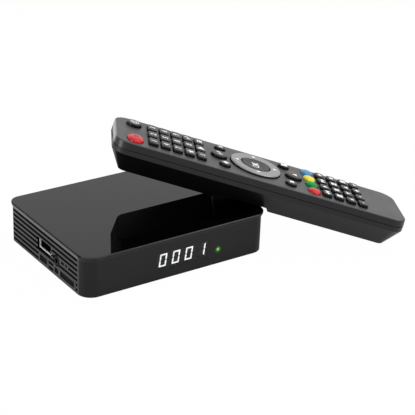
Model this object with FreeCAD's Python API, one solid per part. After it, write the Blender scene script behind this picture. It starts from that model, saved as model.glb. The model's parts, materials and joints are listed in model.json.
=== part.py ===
import FreeCAD, Part

import math
import os

# Satellite TV receiver with its remote control leaning on it. Millimetres, +Z up.
# The origin is the middle of the receiver's feet, on the surface that it stands on.
# +X runs along the front from left to right, and +Y runs from the front to the rear.
V = FreeCAD.Vector
right_way = V(1, 0, 0)
rear_way = V(0, 1, 0)
up_way = V(0, 0, 1)

# Receiver case
case_width = 110.0
case_depth = 81.4
foot_height = 0.8
wall_height = 21.8
cover_thickness = 1.0
cover_edge = 0.25
front_radius = 7.5
rear_radius = 5.5
side_overhang = 0.75
front_overhang = 1.25
flare_start = 19.5
wall = 2.4
case_seat = 0.05
skin_thickness = 1.2
skin_depth = 6.5
front_wall = 1.4
shadow_gap = 0.2
shadow_depth = 0.9
base_thickness = 1.6
base_clearance = 0.1
rim_thickness = 1.2
rim_depth = 2.0
rim_clearance = 0.15

# Vents, in heights above the foot of the case wall and distances behind its front
slot_count = 7
slot_pitch = 2.76
slot_height = 1.45
slot_first_height = 2.0
slot_front = 7.8
slot_length = 70.1
slot_groove = 1.3
window_count = 6
window_rib = 2.0
# Flat hollows in the left side: distance behind the front, length, lowest and highest point
islands = ((11.2, 14.3, 1.8, 5.1), (27.6, 3.6, 1.8, 4.8), (39.5, 7.7, 1.8, 5.2))
island_depth = 0.4
island_border = 1.5
# Plain places that interrupt one of the slots, in the same measures
slot_stops = ((17.1, 4.3, 9.4, 11.3), (24.5, 5.0, 9.4, 11.3))
service_hole = (19.3, 10.45, 1.0)

# Feet and fasteners
foot_radius = 4.5
foot_recess = 0.5
foot_chamfer = 0.3
foot_inset_x = 13.0
foot_inset_y = 12.0
screw_inset = 7.0
screw_radius = 1.25
screw_head_radius = 2.3
screw_head_height = 1.1
screw_bite = 9.0
screw_slot = (2.6, 0.6)
screw_slot_depth = 0.7
boss_radius = 2.8
pilot_clearance = 0.05

# Boards and what they carry
board_thickness = 1.6
board_margin = 2.2
board_front_gap = 6.0
board_rear_gap = 0.6
board_hole_gap = 0.8
standoff_height = 3.4
standoff_radius = 2.5
standoff_inset_x = 14.0
standoff_inset_y = 6.0
socket_clearance = 0.2
socket_proud = 0.6
tuner_size = (26.0, 24.0, 12.5)
tuner_inset = 23.5
tuner_gap = 0.5
lnb_radius = 4.7
lnb_length = 11.0
lnb_hex_radius = 6.3
lnb_hex_length = 1.6
lnb_bore_radius = 0.7
lnb_bore_depth = 7.0
lnb_height = 7.4
hdmi_size = (15.0, 11.5, 5.6)
hdmi_wall = 0.5
hdmi_rear_wall = 2.0
hdmi_tongue = (11.0, 7.0, 1.0)
ethernet_size = (16.0, 18.0, 13.2)
ethernet_mouth = (11.8, 12.5, 8.2)
ethernet_mouth_lift = 1.6
ethernet_latch = (4.7, 2.0)
av_size = (7.0, 12.0, 6.5)
av_bore_radius = 1.8
av_bore_depth = 11.0
power_size = (9.0, 13.5, 10.5)
power_bore_radius = 2.8
power_bore_depth = 9.0
power_pin_radius = 1.0
power_pin_drop = 0.8
power_bore_lift = 0.6
usb_size = (14.0, 13.1, 5.7)
usb_back = 42.6
usb_lift = 1.5
usb_inset = 1.0
usb_wall = 0.3
usb_opening_gap = 0.45
usb_rear_wall = 1.2
usb_tongue_size = (9.0, 11.0, 1.8)
usb_tongue_clearance = 0.02
usb_tongue_drop = 1.1
usb_heel = 1.5
jack_back = 29.3
jack_height = 9.1
jack_radius = 2.0
jack_bore_radius = 1.3
jack_length = 9.0
jack_flange_radius = 2.5
jack_flange_depth = 0.6
jack_ring_gap = 0.65
processor_size = (17.0, 17.0, 1.6)
processor_gap = 2.5
processor_y = 2.0
heat_sink_size = (24.0, 24.0, 6.0)
heat_sink_base = 1.6
fin_count = 7
fin_thickness = 1.0
memory_size = (11.0, 8.0, 1.0)
memory_count = 2
memory_inset = 29.0
memory_gap = 0.8
memory_pitch = 13.0
capacitor_radius = 3.0
capacitor_height = 9.0
# Capacitors, as insets from the case's left side and from its rear
capacitor_insets = ((19.0, 27.7), (27.0, 22.7), (11.0, 20.7))

# Front display: the lit digits read 0001, leaning to the right. Insets are from the case's right side.
display_board_thickness = 1.2
display_size = (34.0, 6.0, 12.4)
display_board_size = (60.0, 13.5)
display_board_margin = 3.0
display_gap = 0.1
window_gap = 0.6
digit_text = "0001"
digit_inset = 66.4
digit_foot = 6.35
digit_height = 6.9
digit_width = 4.1
digit_pitch = 7.85
digit_stroke = 0.65
digit_lean = 1.0
digit_thickness = 0.25
segment_gap = 0.08
led_radius = 0.95
led_lead_radius = 0.75
led_length = 5.5
led_inset = 30.8
led_height = 8.25
led_clearance = 0.05
sensor_size = (4.0, 3.0, 5.0)
sensor_inset = 20.0
sensor_foot = 6.0

# Remote control, in its own frame: U from the power key's end, V across, W out of the keys
remote_length = 162.2
remote_width = 45.3
remote_depth = 18.2
remote_corner = 8.5
remote_wall = 1.8
remote_floor = 2.6
end_bulge = 0.15
parting_depth = 3.8
parting_groove = (0.45, 0.7)
crease_depth = 6.8
top_draft = 0.2
top_edge = 0.45
keel_width = 27.6
keel_corner = 3.3
keel_front = 6.6
keel_rear = 6.45
keel_edge = 0.5
recess_inset = 102.2
recess_length = 29.6
recess_depth = 2.4
recess_crown = 1.5
recess_ramp = 1.8

# How the remote leans: its recess rests on the cover's right edge, its far end on the floor
lean_heading = -31.47
lean_roll = -5.5
lean_from_recess = 21.05
lean_across = -4.9
lean_edge_y = -25.2
lean_clearance = 0.04
floor_clearance = 0.1

# Keys of the remote: place along U, place across V, length along U, width across V, height
key_clearance = 0.25
key_skirt = 0.5
key_flange = 0.5
key_seat = 0.05
key_draft = 0.35
key_edge = 0.35
key_travel = 0.8
oval_keys = {
    "power_key": (10.6, -13.9, 8.8, 12.4, 2.0),
    "mute_key": (10.5, 12.3, 8.3, 9.8, 1.8),
    "menu_key": (59.2, 14.0, 6.2, 7.2, 1.6),
    "info_key": (57.5, 0.3, 9.0, 10.8, 1.8),
    "exit_key": (59.7, -13.2, 6.2, 8.0, 1.6),
    "guide_key": (96.0, 14.6, 6.3, 7.2, 1.6),
    "back_key": (99.9, 0.3, 9.4, 10.8, 1.8),
    "list_key": (96.6, -13.6, 6.2, 8.0, 1.6),
    "blue_key": (109.6, 15.4, 6.9, 8.6, 1.7),
    "yellow_key": (109.6, 5.3, 6.9, 8.6, 1.7),
    "green_key": (109.6, -4.8, 6.9, 8.6, 1.7),
    "red_key": (109.6, -14.9, 6.9, 8.6, 1.7),
}
# The coloured keys are domed: how far in and how far down the dome runs
domed_keys = ("power_key", "blue_key", "yellow_key", "green_key", "red_key")
dome_reach = 1.5
dome_drop = 1.1
dome_steps = 5
number_rows = 5
number_columns = 3
number_start = 20.45
number_pitch = 6.6
number_column_pitch = 12.0
number_key = (5.0, 9.6, 1.65)
function_rows = 4
function_columns = 4
function_start = 116.8
function_pitch = 6.78
function_column_pitch = 9.7
function_key = (4.8, 7.0, 1.7)
row_key_corner = 1.1
ring_place = 77.95
ring_length = 28.2
ring_width = 32.5
ring_height = 1.6
ring_slope = 1.0
ring_slope_width = 0.7
ring_skirt = 0.9
ok_length = 15.6
ok_width = 18.3
ok_height = 1.5
ok_edge = 0.5
ring_gap = 0.6
ring_pivot_radius = 0.4
ring_pivot_length = 1.6
pivot_gap = 0.05
pivot_block = (2.4, 1.3, 1.1)

# Inside the remote
mat_thickness = 0.6
mat_gap = 0.1
mat_corner = 3.0
mat_margin = 3.0
remote_board_thickness = 1.0
remote_board_margin = 2.4
board_post_radius = 2.0
board_post_start = 22.0
board_post_across = 8.0
board_post_gap = 6.0
bay_post_gap = 5.0
cover_inset = 69.2
cover_half_width = 11.0
cover_plate = 1.5
cover_gap = 0.1
battery_inset = 61.6
battery_length = 44.5
battery_radius = 5.25
battery_gap = 0.3
battery_tip_radius = 1.9
battery_tip_length = 0.8
bay_wall = 1.2
bay_gap = 0.4
contact_thickness = 0.4
contact_margin = 1.0
contact_spring_length = 1.0
contact_spring_radius = 2.4
ir_window_width = 12.0
ir_window_height = 2.3
ir_window_drop = 0.6
ir_window_gap = 0.05
emitter_radius = 1.5
emitter_length = 6.0
emitter_gap = 2.2

# How far a cutting shape runs past what it cuts
cut_margin = 5.0

# Heights and edges that follow from the sizes above
floor_z = foot_height
case_top = floor_z + wall_height
cover_top = case_top + cover_thickness
left = -case_width / 2
right = case_width / 2
front = -case_depth / 2
rear = case_depth / 2
seam_y = front + skin_depth
cavity_front = front + skin_thickness + case_seat + front_wall
base_top = floor_z + base_thickness
board_bottom = base_top + standoff_height
board_top = board_bottom + board_thickness

# The rear sockets stand with equal gaps between the left rear boss and the tuner
tuner_x = right - tuner_inset
tuner_front = rear - wall - tuner_gap - tuner_size[1]
socket_start = left + screw_inset + boss_radius
socket_end = tuner_x - tuner_size[0] / 2
socket_widths = (power_size[0], av_size[0], ethernet_size[0], hdmi_size[0])
socket_gap = (socket_end - socket_start - sum(socket_widths)) / (len(socket_widths) + 1)
power_x = socket_start + socket_gap + power_size[0] / 2
av_x = power_x + power_size[0] / 2 + socket_gap + av_size[0] / 2
ethernet_x = av_x + av_size[0] / 2 + socket_gap + ethernet_size[0] / 2
hdmi_x = ethernet_x + ethernet_size[0] / 2 + socket_gap + hdmi_size[0] / 2
processor_x = socket_end - processor_gap - heat_sink_size[0] / 2

# The battery bay and the hollow before it stand at fixed distances from the remote's far end
battery_start = remote_length - battery_inset
cover_start = remote_length - cover_inset
recess_start = remote_length - recess_inset
lean_along = recess_start + lean_from_recess


def box(x0, x1, y0, y1, z0, z1):
    return Part.makeBox(x1 - x0, y1 - y0, z1 - z0, V(x0, y0, z0))


def cylinder(radius, length, base, way):
    return Part.makeCylinder(radius, length, base, way)


def fused(shapes):
    solid = shapes[0]
    if len(shapes) > 1:
        solid = solid.fuse(shapes[1:])
    return solid.removeSplitter()


def rounded_wire(x0, x1, y0, y1, r_low, r_high, z):
    # A rectangle at height z with corner radius r_low on its y0 side and r_high on its y1 side
    bend = math.sqrt(0.5)
    corners = (
        (x1 - r_high, y1 - r_high, r_high, 1, 1),
        (x0 + r_high, y1 - r_high, r_high, -1, 1),
        (x0 + r_low, y0 + r_low, r_low, -1, -1),
        (x1 - r_low, y0 + r_low, r_low, 1, -1),
    )
    arcs = []
    for cx, cy, r, sx, sy in corners:
        along_x = V(cx + sx * r, cy, z)
        along_y = V(cx, cy + sy * r, z)
        middle = V(cx + sx * r * bend, cy + sy * r * bend, z)
        ends = (along_x, along_y) if sx == sy else (along_y, along_x)
        arcs.append((ends[0], middle, ends[1]))
    edges = []
    for index, (start, middle, end) in enumerate(arcs):
        edges.append(Part.Arc(start, middle, end).toShape())
        following = arcs[(index + 1) % len(arcs)][0]
        edges.append(Part.LineSegment(end, following).toShape())
    return Part.Wire(edges)


def prism(wire, height):
    return Part.Face(wire).extrude(V(0, 0, height))


def loft(wires):
    return Part.makeLoft(wires, True, True)


# ---- Receiver ----

def case_outline(inset, z, front_extra=0.0):
    # The case's outline, moved inwards by inset, or outwards where inset is below zero
    return rounded_wire(left + inset, right - inset, front + inset - front_extra, rear - inset,
                        max(front_radius - inset, 0.5), max(rear_radius - inset, 0.5), z)


def case_block(inset):
    # The outside of the case walls with the flared rim, moved inwards by inset
    lower = prism(case_outline(inset, floor_z), flare_start)
    flare_base = case_outline(inset, floor_z + flare_start)
    flare_top = case_outline(inset - side_overhang, case_top, front_overhang - side_overhang)
    return fused([lower, loft([flare_base, flare_top])])


def case_cavity(z0, z1, inset):
    # The room inside the case walls and the front sub-wall, moved inwards by inset
    wire = rounded_wire(left + wall + inset, right - wall - inset, cavity_front + inset, rear - wall - inset,
                        front_radius - wall, max(rear_radius - wall - inset, 0.5), z0)
    return prism(wire, z1 - z0)


def slot_heights():
    return [floor_z + slot_first_height + n * slot_pitch for n in range(slot_count)]


def vent_cuts(side, keep_out):
    # Long grooves in one side wall, opened to the inside by windows between upright ribs
    outer = side * case_width / 2
    groove_inner = outer - side * slot_groove
    inner = outer - side * (wall + 1)
    y0 = front + slot_front
    span = (slot_length - (window_count - 1) * window_rib) / window_count
    cuts = []
    for z in slot_heights():
        low, high = z - slot_height / 2, z + slot_height / 2
        outside = outer + side * side_overhang
        cuts.append(box(min(outside, groove_inner), max(outside, groove_inner), y0, y0 + slot_length,
                        low, high))
        for n in range(window_count):
            start = y0 + n * (span + window_rib)
            cuts.append(box(min(outer, inner), max(outer, inner), start, start + span, low, high))
    solid = fused(cuts)
    for block in keep_out:
        solid = solid.cut(block)
    return solid


def side_block(place, border, depth):
    # A block over a place on the left side, grown by a border and sunk to a depth
    back, length, low, high = place
    return box(left - 1, left + depth, front + back - border, front + back + length + border,
               floor_z + low - border, floor_z + high + border)


def left_stops():
    # Where the left side has no slots
    through = wall + 1
    return ([side_block(place, island_border, through) for place in islands]
            + [side_block(place, 0, through) for place in slot_stops])


def usb_box(grow, depth_out):
    # The USB shell's envelope, grown sideways by grow and run out of the case by depth_out
    length, width, height = usb_size
    y = front + usb_back
    z0 = board_top + usb_lift
    return box(left - depth_out, left + length, y - width / 2 - grow, y + width / 2 + grow,
               z0 - grow, z0 + height + grow)


def jack_axis_point():
    return V(left, front + jack_back, floor_z + jack_height)


def screw_points():
    points = []
    for sx in (-1, 1):
        for y in (front + screw_inset + front_wall, rear - screw_inset):
            points.append((sx * (right - screw_inset), y))
    return points


def foot_points():
    x = right - foot_inset_x
    y = rear - foot_inset_y
    return [(-x, -y), (x, -y), (x, y), (-x, y)]


def rear_sockets():
    # For each rear socket, the x of its middle and its size
    return ((hdmi_x, hdmi_size), (ethernet_x, ethernet_size), (av_x, av_size), (power_x, power_size))


def rear_cut(x, size):
    width, _, height = size
    return box(x - width / 2 - socket_clearance, x + width / 2 + socket_clearance, rear - wall - 1, rear + 1,
               board_top - socket_clearance, board_top + height + socket_clearance)


def lnb_point():
    return V(tuner_x, rear - wall - tuner_gap, board_top + lnb_height)


def display_span():
    # Where the digit block stands along the front
    middle = right - digit_inset + (digit_pitch * (len(digit_text) - 1) + digit_width) / 2
    return middle - display_size[0] / 2, middle + display_size[0] / 2


def display_low():
    return floor_z + digit_foot + digit_height / 2 - display_size[2] / 2


def panel_inner_y():
    return front + skin_thickness


def top_cover():
    outer = case_outline(-side_overhang, case_top, front_overhang - side_overhang)
    edge = cover_edge
    shoulder = case_outline(-side_overhang, cover_top - edge, front_overhang - side_overhang)
    crown = case_outline(edge - side_overhang, cover_top, front_overhang - side_overhang)
    plate = prism(outer, cover_thickness - edge).fuse(loft([shoulder, crown]))
    groove = prism(case_outline(-side_overhang - 1, case_top), shadow_gap)
    groove = groove.cut(prism(case_outline(shadow_depth - side_overhang, case_top), shadow_gap))
    rim = case_cavity(case_top - rim_depth, case_top, rim_clearance)
    rim = rim.cut(case_cavity(case_top - rim_depth, case_top, rim_clearance + rim_thickness))
    bosses = []
    for x, y in screw_points():
        bosses.append(cylinder(boss_radius, case_top - base_top, V(x, y, base_top), up_way))
    solid = fused([plate.cut(groove), rim] + bosses)
    for x, y in screw_points():
        solid = solid.cut(cylinder(screw_radius + pilot_clearance, screw_bite + 1, V(x, y, base_top), up_way))
    return solid


def case_body():
    solid = case_block(0)
    skin_room = solid.cut(case_block(skin_thickness + case_seat))
    skin_room = skin_room.common(box(left - cut_margin, right + cut_margin, front - cut_margin, seam_y,
                                     0, case_top))
    solid = solid.cut(skin_room).cut(case_cavity(floor_z, case_top, 0))
    solid = solid.cut(vent_cuts(1, []))
    solid = solid.cut(vent_cuts(-1, left_stops()))
    for place in islands:
        solid = solid.cut(side_block(place, 0, island_depth))
    back, height, radius = service_hole
    start = V(left - 1, front + back, floor_z + height)
    solid = solid.cut(cylinder(radius, wall + 2, start, right_way))
    solid = solid.cut(usb_box(usb_opening_gap, 2))
    jack = jack_axis_point()
    ring_radius = jack_flange_radius + jack_ring_gap
    solid = solid.fuse(cylinder(ring_radius, wall, jack, right_way))
    solid = solid.cut(cylinder(jack_radius + socket_clearance, wall + 2, jack - right_way, right_way))
    solid = solid.cut(cylinder(ring_radius, jack_flange_depth + 1, jack - right_way, right_way))
    for x, size in rear_sockets():
        solid = solid.cut(rear_cut(x, size))
    solid = solid.cut(cylinder(lnb_hex_radius + socket_clearance, wall + 2, lnb_point(), rear_way))
    x0, x1 = display_span()
    z0 = display_low()
    y1 = cavity_front + 1
    solid = solid.cut(box(x0 - window_gap, x1 + window_gap, front, y1, z0 - window_gap,
                          z0 + display_size[2] + window_gap))
    led = V(right - led_inset, front, floor_z + led_height)
    solid = solid.cut(cylinder(led_radius + window_gap, y1 - front, led, rear_way))
    sensor_x = right - sensor_inset
    width, _, height = sensor_size
    z0 = floor_z + sensor_foot
    solid = solid.cut(box(sensor_x - width / 2 - window_gap, sensor_x + width / 2 + window_gap, front, y1,
                          z0 - window_gap, z0 + height + window_gap))
    return solid.removeSplitter()


def front_panel():
    solid = case_block(0).cut(case_block(skin_thickness))
    solid = solid.common(box(left - cut_margin, right + cut_margin, front - cut_margin, seam_y - case_seat,
                             0, case_top))
    led = V(right - led_inset, front - front_overhang, floor_z + led_height)
    return solid.cut(cylinder(led_radius + led_clearance, skin_depth, led, rear_way))


def base_plate():
    solid = case_cavity(floor_z, base_top, base_clearance)
    posts = []
    for x in (left + standoff_inset_x, right - standoff_inset_x):
        for y in (board_front() + standoff_inset_y, board_rear() - standoff_inset_y):
            posts.append(cylinder(standoff_radius, standoff_height, V(x, y, base_top), up_way))
    solid = fused([solid] + posts)
    for x, y in screw_points():
        hole = cylinder(screw_radius + pilot_clearance, base_thickness, V(x, y, floor_z), up_way)
        sink = cylinder(screw_head_radius + socket_clearance, screw_head_height, V(x, y, floor_z), up_way)
        solid = solid.cut(hole.fuse(sink))
    for x, y in foot_points():
        solid = solid.cut(cylinder(foot_radius, foot_recess, V(x, y, floor_z), up_way))
    return solid


def rubber_feet():
    feet = []
    for x, y in foot_points():
        foot = cylinder(foot_radius, foot_height + foot_recess, V(x, y, 0), up_way)
        feet.append(foot.makeChamfer(foot_chamfer, [foot.Edges[2]]))
    return Part.makeCompound(feet)


def case_screws():
    screws = []
    for x, y in screw_points():
        head = cylinder(screw_head_radius, screw_head_height, V(x, y, floor_z), up_way)
        shank = cylinder(screw_radius, screw_bite, V(x, y, floor_z), up_way)
        cross = []
        for wide, deep in (screw_slot, screw_slot[::-1]):
            cross.append(box(x - wide / 2, x + wide / 2, y - deep / 2, y + deep / 2, floor_z,
                             floor_z + screw_slot_depth))
        screws.append(fused([head, shank]).cut(fused(cross)))
    return Part.makeCompound(screws)


def board_front():
    return cavity_front + board_front_gap


def board_rear():
    return rear - wall - board_rear_gap


def main_board():
    inset = wall + board_margin
    solid = box(left + inset, right - inset, board_front(), board_rear(), board_bottom, board_top)
    for x, y in screw_points():
        hole = cylinder(boss_radius + board_hole_gap, board_thickness, V(x, y, board_bottom), up_way)
        solid = solid.cut(hole)
    return solid


def tuner_can():
    width, depth, height = tuner_size
    return box(tuner_x - width / 2, tuner_x + width / 2, tuner_front, tuner_front + depth, board_top,
               board_top + height)


def lnb_connector():
    base = lnb_point()
    hexagon = []
    for n in range(7):
        angle = math.radians(60 * n)
        hexagon.append(base + V(lnb_hex_radius * math.cos(angle), 0, lnb_hex_radius * math.sin(angle)))
    nut = Part.Face(Part.makePolygon(hexagon)).extrude(V(0, wall + tuner_gap + lnb_hex_length, 0))
    barrel = cylinder(lnb_radius, wall + tuner_gap + lnb_hex_length + lnb_length, base, rear_way)
    mouth = base + rear_way * (wall + tuner_gap + lnb_hex_length + lnb_length - lnb_bore_depth)
    return fused([nut, barrel]).cut(cylinder(lnb_bore_radius, lnb_bore_depth, mouth, rear_way))


def rear_block(x, size):
    width, depth, height = size
    y1 = rear + socket_proud
    return box(x - width / 2, x + width / 2, y1 - depth, y1, board_top, board_top + height)


def hdmi_socket():
    width, depth, height = hdmi_size
    shell = rear_block(hdmi_x, hdmi_size)
    y1 = rear + socket_proud
    y0 = y1 - depth + hdmi_rear_wall
    room = box(hdmi_x - width / 2 + hdmi_wall, hdmi_x + width / 2 - hdmi_wall, y0, y1,
               board_top + hdmi_wall, board_top + height - hdmi_wall)
    tongue_width, tongue_depth, tongue_height = hdmi_tongue
    middle = board_top + height / 2
    tongue = box(hdmi_x - tongue_width / 2, hdmi_x + tongue_width / 2, y0, y0 + tongue_depth,
                 middle - tongue_height / 2, middle + tongue_height / 2)
    return fused([shell.cut(room), tongue])


def ethernet_socket():
    width, depth, height = ethernet_mouth
    y1 = rear + socket_proud
    z0 = board_top + ethernet_mouth_lift
    mouth = box(ethernet_x - width / 2, ethernet_x + width / 2, y1 - depth, y1, z0, z0 + height)
    half = ethernet_latch[0] / 2
    latch = box(ethernet_x - half, ethernet_x + half, y1 - depth, y1, z0 + height,
                z0 + height + ethernet_latch[1])
    return rear_block(ethernet_x, ethernet_size).cut(mouth.fuse(latch))


def av_socket():
    middle = V(av_x, rear + socket_proud, board_top + av_size[2] / 2)
    bore = cylinder(av_bore_radius, av_bore_depth, middle - rear_way * av_bore_depth, rear_way)
    return rear_block(av_x, av_size).cut(bore)


def power_socket():
    middle = V(power_x, rear + socket_proud, board_top + power_size[2] / 2 + power_bore_lift)
    start = middle - rear_way * power_bore_depth
    bore = cylinder(power_bore_radius, power_bore_depth, start, rear_way)
    pin = cylinder(power_pin_radius, power_bore_depth - power_pin_drop, start, rear_way)
    return rear_block(power_x, power_size).cut(bore.cut(pin))


def usb_socket():
    length = usb_size[0]
    shell = usb_box(0, -usb_inset)
    span = shell.BoundBox
    rear_plate = box(left + length - usb_rear_wall, left + length + 1, front, rear, 0, case_top)
    room = usb_box(-usb_wall, 0).cut(rear_plate)
    pads = box(left + wall + board_margin, left + length, span.YMin, span.YMax, board_top,
               board_top + usb_lift)
    return fused([shell.cut(room), pads])


def usb_tongue():
    length, width, height = usb_tongue_size
    y = front + usb_back
    x1 = left + usb_size[0] - usb_rear_wall - usb_tongue_clearance
    z1 = board_top + usb_lift + usb_size[2] - usb_wall - usb_tongue_drop
    plate = box(x1 - length, x1, y - width / 2, y + width / 2, z1 - height, z1)
    z0 = board_top + usb_lift + usb_wall + usb_tongue_clearance
    heel = box(x1 - usb_heel, x1, y - width / 2, y + width / 2, z0, z1)
    return fused([plate, heel])


def side_jack():
    point = jack_axis_point()
    flange = cylinder(jack_flange_radius, jack_flange_depth, point, right_way)
    barrel = cylinder(jack_radius, jack_length, point, right_way)
    foot_x = left + wall + board_margin
    foot = box(foot_x, left + jack_length, point.y - jack_radius, point.y + jack_radius, board_top, point.z)
    bore = cylinder(jack_bore_radius, jack_length - 1, point, right_way)
    return fused([flange, barrel, foot]).cut(bore)


def display_board():
    length, height = display_board_size
    y0 = panel_inner_y() + display_gap + display_size[1]
    x0 = display_span()[0] - display_board_margin
    z0 = board_bottom
    return box(x0, x0 + length, y0, y0 + display_board_thickness, z0, z0 + height)


def display_module():
    x0, x1 = display_span()
    y0 = panel_inner_y() + display_gap
    z0 = display_low()
    return box(x0, x1, y0 + digit_thickness, y0 + display_size[1], z0, z0 + display_size[2])


def segment(points):
    # One lit bar, from its corner points in the plane of the digits, leaning with the height
    y = panel_inner_y() + display_gap
    z0 = floor_z + digit_foot
    corners = []
    for x, z in points + points[:1]:
        corners.append(V(x + digit_lean * z / digit_height, y, z0 + z))
    return Part.Face(Part.makePolygon(corners)).extrude(V(0, digit_thickness, 0))


def upright_points():
    # The lower left bar of a digit: mitred at the foot, pointed at the middle
    half = digit_stroke / 2
    middle = digit_height / 2 - segment_gap
    return [(0, segment_gap), (digit_stroke, digit_stroke + segment_gap), (digit_stroke, middle - half),
            (half, middle), (0, middle - half)]


def level_points():
    # The lowest bar of a digit, mitred at both ends
    inner = digit_stroke + segment_gap
    return [(segment_gap, 0), (digit_width - segment_gap, 0), (digit_width - inner, digit_stroke),
            (inner, digit_stroke)]


def mirrored(points, across, upward):
    # The same bar on the digit's other side, at its other end, or both
    swapped = [(digit_width - x if across else x, digit_height - z if upward else z) for x, z in points]
    return swapped if across == upward else swapped[::-1]


def display_digits():
    upright, level = upright_points(), level_points()
    bars = []
    for n, sign in enumerate(digit_text):
        x0 = right - digit_inset + n * digit_pitch
        lit = [mirrored(upright, True, False), mirrored(upright, True, True)]
        if sign == "0":
            lit += [upright, mirrored(upright, False, True), level, mirrored(level, False, True)]
        bars += [segment([(x0 + x, z) for x, z in points]) for points in lit]
    return Part.makeCompound(bars)


def status_led():
    tip = V(right - led_inset, front, floor_z + led_height)
    lens = cylinder(led_radius, led_length, tip, rear_way)
    back = panel_inner_y() + display_gap + display_size[1]
    leads = cylinder(led_lead_radius, back - front - led_length, tip + rear_way * led_length, rear_way)
    return fused([lens, leads])


def ir_sensor():
    width, depth, height = sensor_size
    x = right - sensor_inset
    back = panel_inner_y() + display_gap + display_size[1]
    z0 = floor_z + sensor_foot
    return box(x - width / 2, x + width / 2, back - depth, back, z0, z0 + height)


def processor():
    width, depth, height = processor_size
    return box(processor_x - width / 2, processor_x + width / 2, processor_y - depth / 2,
               processor_y + depth / 2, board_top, board_top + height)


def heat_sink():
    width, depth, height = heat_sink_size
    x0, y0, y1 = processor_x - width / 2, processor_y - depth / 2, processor_y + depth / 2
    z0 = board_top + processor_size[2]
    parts = [box(x0, x0 + width, y0, y1, z0, z0 + heat_sink_base)]
    step = (width - fin_thickness) / (fin_count - 1)
    for n in range(fin_count):
        fin_x = x0 + n * step
        parts.append(box(fin_x, fin_x + fin_thickness, y0, y1, z0, z0 + height))
    return fused(parts)


def memory_chips():
    width, depth, height = memory_size
    x = right - memory_inset
    chips = []
    for n in range(memory_count):
        y = tuner_front - memory_gap - depth / 2 - n * memory_pitch
        chips.append(box(x - width / 2, x + width / 2, y - depth / 2, y + depth / 2, board_top,
                         board_top + height))
    return Part.makeCompound(chips)


def capacitors():
    cans = []
    for from_left, from_rear in capacitor_insets:
        foot = V(left + from_left, rear - from_rear, board_top)
        cans.append(cylinder(capacitor_radius, capacitor_height, foot, up_way))
    return Part.makeCompound(cans)


# ---- Remote control, in its own frame ----

def plan_wire(u0, u1, half, corner, w):
    return rounded_wire(u0, u1, -half, half, corner, corner, w)


def upper_shape(inset, top):
    # The key side of the remote, from the parting line up to the height top
    half = remote_width / 2 - inset
    corner = remote_corner - inset
    low = plan_wire(inset - end_bulge, remote_length - inset, half, corner, -parting_depth)
    if inset:
        high = plan_wire(inset, remote_length - inset, half - top_draft, corner, top)
        return loft([low, high])
    high = plan_wire(0, remote_length - top_draft, half - top_draft, corner, -top_edge)
    crown = plan_wire(top_edge, remote_length - top_draft - top_edge, half - top_draft - top_edge,
                      corner - top_edge, 0)
    return loft([low, high, crown])


def lower_shape(inset, floor_inset):
    # The battery side of the remote, from the parting line down to its keel
    half = remote_width / 2 - inset
    corner = remote_corner - inset
    band_top = plan_wire(inset - end_bulge, remote_length - inset, half, corner, -parting_depth)
    band_low = plan_wire(inset - end_bulge, remote_length - inset, half, corner, -crease_depth)
    lowest = -remote_depth + floor_inset
    share = (remote_depth - floor_inset - crease_depth) / (remote_depth - crease_depth)
    keel_half = half + (keel_width / 2 - remote_width / 2) * share
    keel_u0 = inset - end_bulge + (keel_front + end_bulge) * share
    keel_u1 = remote_length - inset - keel_rear * share
    keel_round = corner + (keel_corner - remote_corner) * share
    sections = [band_top, band_low]
    if inset:
        sections.append(plan_wire(keel_u0, keel_u1, keel_half, keel_round, lowest))
    else:
        sections.append(plan_wire(keel_u0, keel_u1, keel_half, keel_round, lowest + keel_edge / 2))
        sections.append(plan_wire(keel_u0 + keel_edge, keel_u1 - keel_edge, keel_half - keel_edge,
                                  keel_round - keel_edge, lowest))
    return loft(sections)


def recess_tool(grow):
    # A shallow hollow across the underside, grown inwards by grow for the wall behind it
    u0 = recess_start - grow
    u1 = recess_start + recess_length + grow
    edge = -remote_depth + recess_depth + grow
    deep = -remote_depth - cut_margin
    slope = recess_ramp / recess_depth
    ramp = slope * (edge - deep) - recess_ramp
    profile = [(u0 - ramp, deep), (u0 + recess_ramp, edge), (u1 - recess_ramp, edge), (u1 + ramp, deep)]
    corners = [V(u, -remote_width, w) for u, w in profile + profile[:1]]
    trough = Part.Face(Part.makePolygon(corners)).extrude(V(0, 2 * remote_width, 0))
    half = keel_width / 2
    crown_radius = (half * half + recess_crown * recess_crown) / (2 * recess_crown)
    crown_axis = V(u0 - remote_length, 0, edge - recess_crown + crown_radius)
    crown_length = recess_length + 2 * remote_length + 2 * grow
    return trough.cut(cylinder(crown_radius, crown_length, crown_axis, right_way))


def ellipse_wire(u, v, length, width, w):
    # FreeCAD's ellipse wants its larger radius first
    if length >= width:
        curve = Part.Ellipse(V(u + length / 2, v, w), V(u, v + width / 2, w), V(u, v, w))
    else:
        curve = Part.Ellipse(V(u, v + width / 2, w), V(u - length / 2, v, w), V(u, v, w))
    return Part.Wire([curve.toShape()])


def oval(u, v, length, width, w0, w1):
    return Part.Face(ellipse_wire(u, v, length, width, w0)).extrude(V(0, 0, w1 - w0))


def flange_top():
    return -remote_wall - key_seat


def flange_bottom():
    return flange_top() - key_skirt


def oval_key(u, v, length, width, height, domed):
    # A cap with a drafted side, on a flange that stays under the shell. Its top has either
    # a softened edge or a dome in steps.
    flange = oval(u, v, length + 2 * key_flange, width + 2 * key_flange, flange_bottom(), flange_top())
    stem = oval(u, v, length, width, flange_top(), 0)
    reach, drop, steps = (dome_reach, dome_drop, dome_steps) if domed else (key_edge, key_edge, 1)
    wires = [ellipse_wire(u, v, length, width, 0)]
    for n in range(steps + 1):
        angle = math.pi / 2 * n / steps
        shrink = key_draft + 2 * reach * (1 - math.cos(angle))
        ring_top = height - drop * (1 - math.sin(angle))
        wires.append(ellipse_wire(u, v, length - shrink, width - shrink, ring_top))
    return fused([flange, stem, loft(wires)])


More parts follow.
